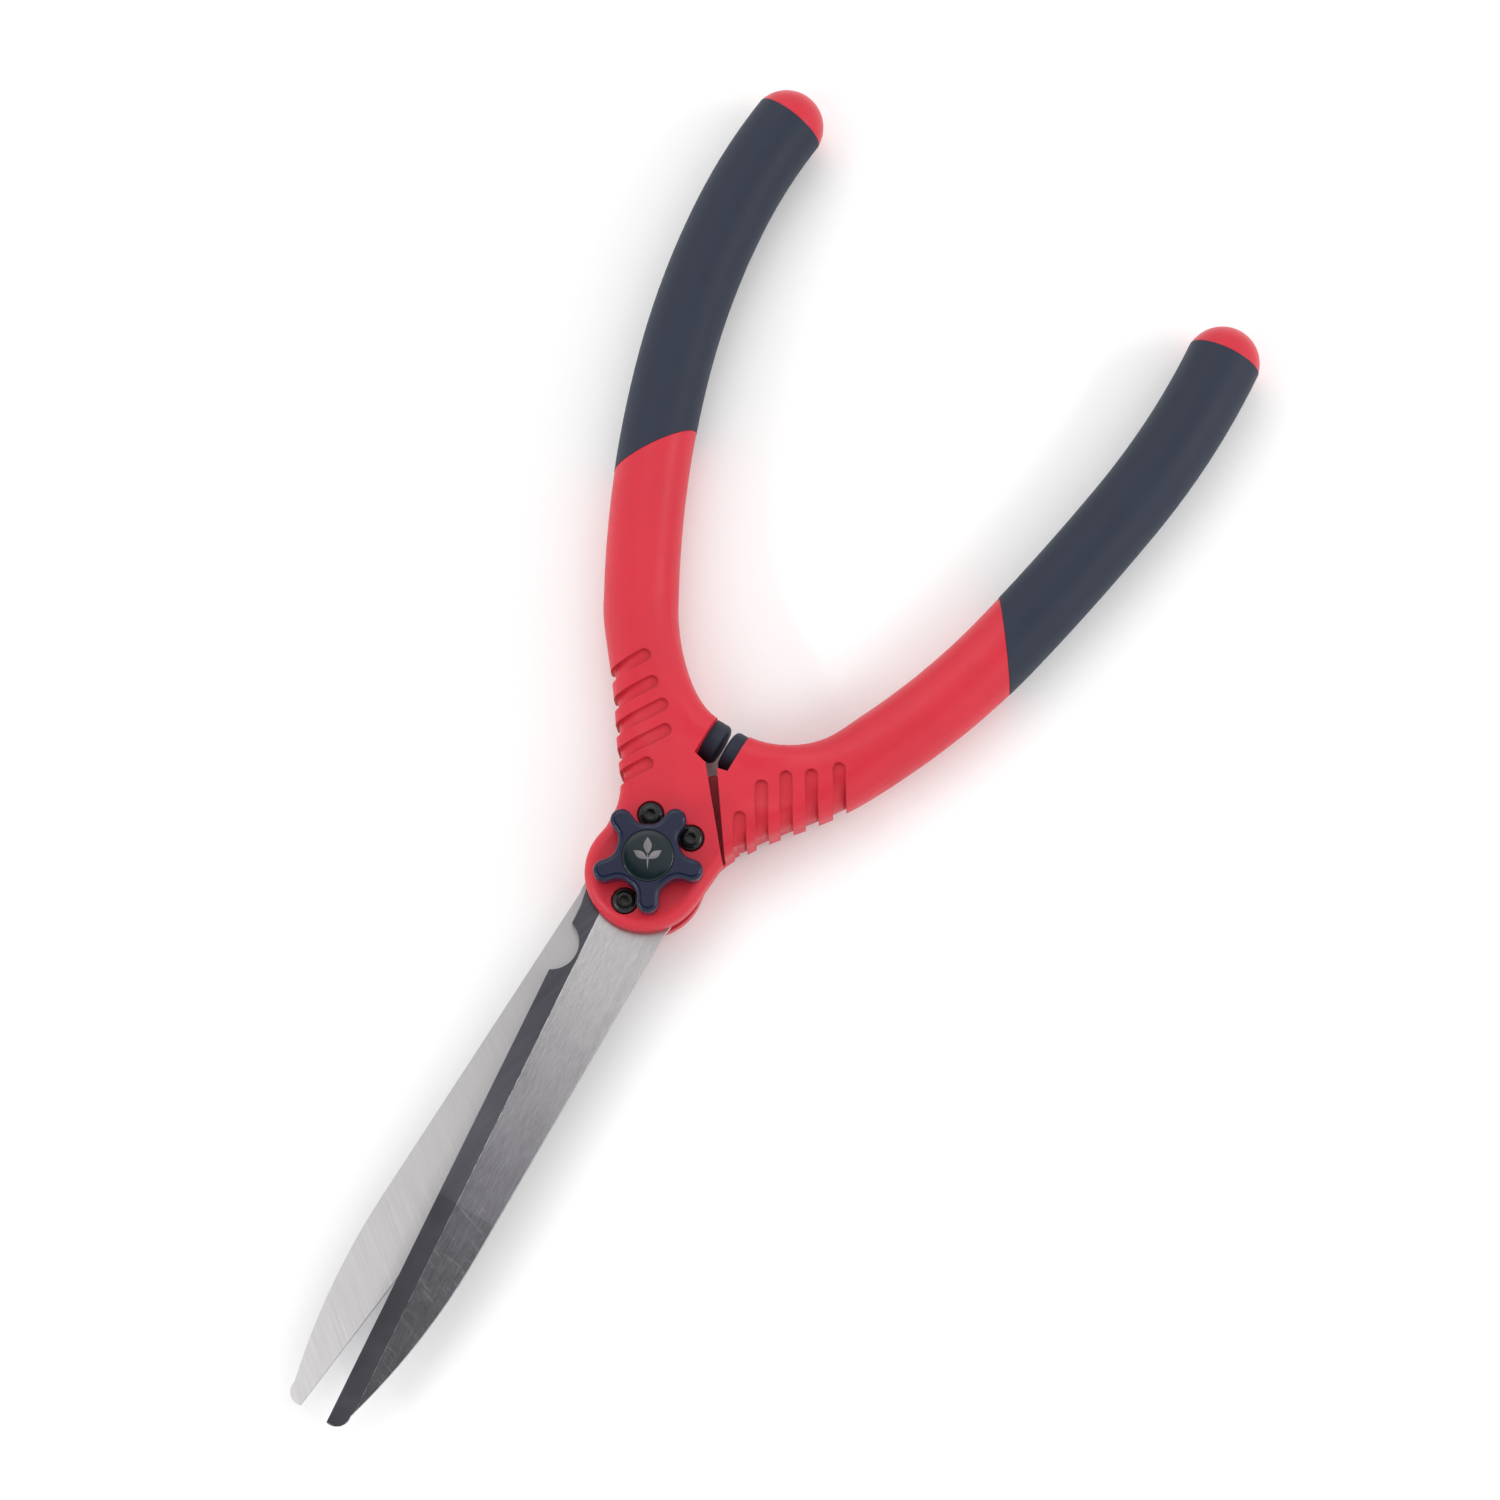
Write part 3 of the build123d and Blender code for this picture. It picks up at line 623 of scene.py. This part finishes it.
def copied_screw(first, name, first_node, node_name):
    """A copy of a half's first screw, moved to its own node's place."""
    deselect_all()
    first.select_set(True)
    bpy.context.view_layer.objects.active = first
    bpy.ops.object.duplicate()
    piece = bpy.context.active_object
    piece.name = name
    piece.data.name = name
    move = Vector(middle_of(node_name)) - Vector(middle_of(first_node))
    bpy.ops.object.mode_set(mode="EDIT")
    bpy.ops.mesh.select_all(action="SELECT")
    bpy.ops.transform.translate(value=(*move, 0.0))
    deselect_all()
    return piece


class PIECES_OT_screws(bpy.types.Operator):
    """Button-head screws that hold the two blades."""

    bl_idname = "shears.screws"
    bl_label = "Blade screws"

    def execute(self, context):
        socket = context.scene.shears_pieces.socket
        for side, sign in zip(SIDES, (1.0, -1.0)):
            names = [f"{side}_button_screw_{number}" for number in SCREW_NUMBERS]
            node_names = [f"{side}_blade_screw_{number}" for number in SCREW_NUMBERS]
            screws = [first_screw(names[0], node_names[0], sign, socket)]
            for name, node_name in zip(names[1:], node_names[1:]):
                screws.append(copied_screw(screws[0], name, node_names[0], node_name))
            for piece, node_name in zip(screws, node_names):
                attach(piece, f"{side}_half")
                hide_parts(node_name)
        return {"FINISHED"}


def leaf(name, root, length, width, turn, height, thickness):
    """A pointed leaf lying flat: a thin disc, narrowed row by row to both ends, then sized and placed."""
    deselect_all()
    bpy.ops.mesh.primitive_circle_add(vertices=LEAF_STEPS, radius=0.5, fill_type="NGON")
    piece = active_mesh(name)
    bpy.ops.transform.translate(value=(0.0, 0.5, 0.0))
    bpy.ops.mesh.extrude_region_move(TRANSFORM_OT_translate={"value": (0.0, 0.0, 1.0)})
    rows = sorted({round(vertex.co.y, 4) for vertex in bmesh.from_edit_mesh(piece.data).verts})
    for row in rows[1:-1]:
        bpy.ops.mesh.select_all(action="DESELECT")
        shape = bmesh.from_edit_mesh(piece.data)
        for vertex in shape.verts:
            vertex.select = abs(vertex.co.y - row) < 0.001
        bmesh.update_edit_mesh(piece.data)
        narrow = sin(pi * row) ** LEAF_POINT / max(2.0 * sqrt(row * (1.0 - row)), 0.01)
        bpy.ops.transform.resize(value=(narrow, 1.0, 1.0), center_override=(0.0, row, 0.0))
    bpy.ops.mesh.select_all(action="SELECT")
    bpy.ops.transform.resize(value=(width, length, thickness), center_override=(0.0, 0.0, 0.0))
    bpy.ops.mesh.normals_make_consistent(inside=False)
    deselect_all()
    piece.rotation_euler = (0.0, 0.0, turn)
    piece.location = (*root, height)
    return piece


class PIECES_OT_badge(bpy.types.Operator):
    """The domed badge in the knob, with a three-leaf sprout on it."""

    bl_idname = "shears.badge"
    bl_label = "Badge"

    def execute(self, context):
        settings = context.scene.shears_pieces
        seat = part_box("knob_badge")[0][2]
        dome = turned("badge_dome", (0.0, 0.0), seat, BADGE_PROFILE, RING_STEPS)
        finish_mesh(dome, radians(60.0), bpy.data.materials["badge_plastic"])
        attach(dome, "knob")
        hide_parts("knob_badge")

        foot = seat + BADGE_PROFILE[-1][1] * MM - SPROUT_SINK
        thickness = settings.relief + SPROUT_SINK
        up = radians(SPROUT_TURN)
        along = Vector((-sin(up), cos(up)))
        size = settings.leaf
        for name, start, length, width, lean in SPROUT:
            root = along * start * size
            piece = leaf(name, root, length * size, width * size, up + radians(lean), foot, thickness)
            apply_modifier(
                piece, "BEVEL", width=LEAF_EDGE, segments=2, limit_method="ANGLE", angle_limit=CRISP_EDGE
            )
            finish_mesh(piece, radians(40.0), bpy.data.materials["sprout_print"])
            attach(piece, "knob")
        return {"FINISHED"}


# ---------------------------------------------------------------- stage


def area_light(name, place, target, size, power):
    """A soft rectangular light that looks at a point."""
    light = bpy.data.lights.new(name, "AREA")
    light.shape = "RECTANGLE"
    light.size, light.size_y = size
    light.energy = power
    lamp = bpy.data.objects.new(name, light)
    bpy.context.scene.collection.objects.link(lamp)
    lamp.location = place
    lamp.rotation_euler = (Vector(target) - Vector(place)).to_track_quat("-Z", "Y").to_euler()


def studio_world(settings):
    """Pale all round, with a dim ceiling that is darker over the blades than over the grips."""
    world = bpy.data.worlds.new("studio")
    world.use_nodes = True
    tree = world.node_tree
    axes = node(tree, "SeparateXYZ", Vector=node(tree, "TexCoord").outputs["Generated"])
    ceiling = remap(tree, axes.outputs["Z"], *CEILING_EDGE, 0.0, 1.0)
    over = remap(tree, axes.outputs["Y"], *CEILING_FADE, settings.ceiling_dark, settings.ceiling_light)
    sides = maths(tree, "MULTIPLY", maths(tree, "SUBTRACT", 1.0, ceiling), settings.sky)
    strength = maths(tree, "MULTIPLY_ADD", ceiling, over, sides)
    background = tree.nodes["Background"]
    background.inputs["Color"].default_value = (1.0, 1.0, 1.0, 1.0)
    tree.links.new(strength, background.inputs["Strength"])
    return world


class PIECES_OT_stage(bpy.types.Operator):
    """Pale floor, soft studio light and the camera."""

    bl_idname = "shears.stage"
    bl_label = "Stage"

    def execute(self, context):
        settings = context.scene.shears_stage
        deselect_all()
        bpy.ops.mesh.primitive_plane_add(size=settings.floor_size, location=(0.0, 0.0, 0.0))
        floor = context.active_object
        floor.name = "floor"
        pale, shader = new_material("pale_floor", Base_Color=(0.93, 0.93, 0.93, 1.0), Roughness=0.9)
        floor.data.materials.append(pale)

        context.scene.world = studio_world(settings)
        middle = (CAD_BOX[0] + CAD_BOX[1]) / 2
        area_light("key", KEY_PLACE, middle, KEY_SIZE, settings.key_power)
        for name, place in GLINTS.items():
            area_light(name, place, middle, GLINT_SIZE, settings.glint_power)

        camera = bpy.data.cameras.new("camera")
        camera.lens = settings.lens
        camera.clip_end = 50.0
        eye = bpy.data.objects.new("camera", camera)
        context.scene.collection.objects.link(eye)
        back, up = Vector(CAMERA_BACK).normalized(), Vector(CAMERA_UP)
        right = up.cross(back).normalized()
        axes = Matrix((right, back.cross(right), back)).transposed()
        eye.matrix_world = Matrix.Translation(CAMERA_PLACE) @ axes.to_4x4()
        context.scene.camera = eye
        context.scene.view_settings.view_transform = "Standard"
        return {"FINISHED"}


# ---------------------------------------------------------------- panel and registration


class PIECES_PT_panel(bpy.types.Panel):
    """Lists the pieces of the shears."""

    bl_idname = "PIECES_PT_panel"
    bl_label = "Grass Shears"
    bl_space_type = "VIEW_3D"
    bl_region_type = "UI"
    bl_category = "Grass Shears"

    def draw(self, context):
        for settings in (getattr(context.scene, name) for name in SETTINGS):
            for key in settings.bl_rna.properties.keys():
                if key not in ("rna_type", "name"):
                    self.layout.prop(settings, key)
        for operator in OPERATORS:
            self.layout.operator(operator.bl_idname)


OPERATORS = (PIECES_OT_finishes, PIECES_OT_screws, PIECES_OT_badge, PIECES_OT_stage)
SETTINGS = {"shears_finish": FinishSettings, "shears_pieces": PieceSettings, "shears_stage": StageSettings}


def register():
    for group in (*SETTINGS.values(), *OPERATORS, PIECES_PT_panel):
        bpy.utils.register_class(group)
    for name, group in SETTINGS.items():
        setattr(bpy.types.Scene, name, bpy.props.PointerProperty(type=group))


def unregister():
    for name in SETTINGS:
        delattr(bpy.types.Scene, name)
    for group in reversed((*SETTINGS.values(), *OPERATORS, PIECES_PT_panel)):
        bpy.utils.unregister_class(group)


def main():
    register()
    bpy.ops.shears.finishes()
    bpy.ops.shears.screws()
    bpy.ops.shears.badge()
    bpy.ops.shears.stage()


if __name__ == "__main__":
    main()
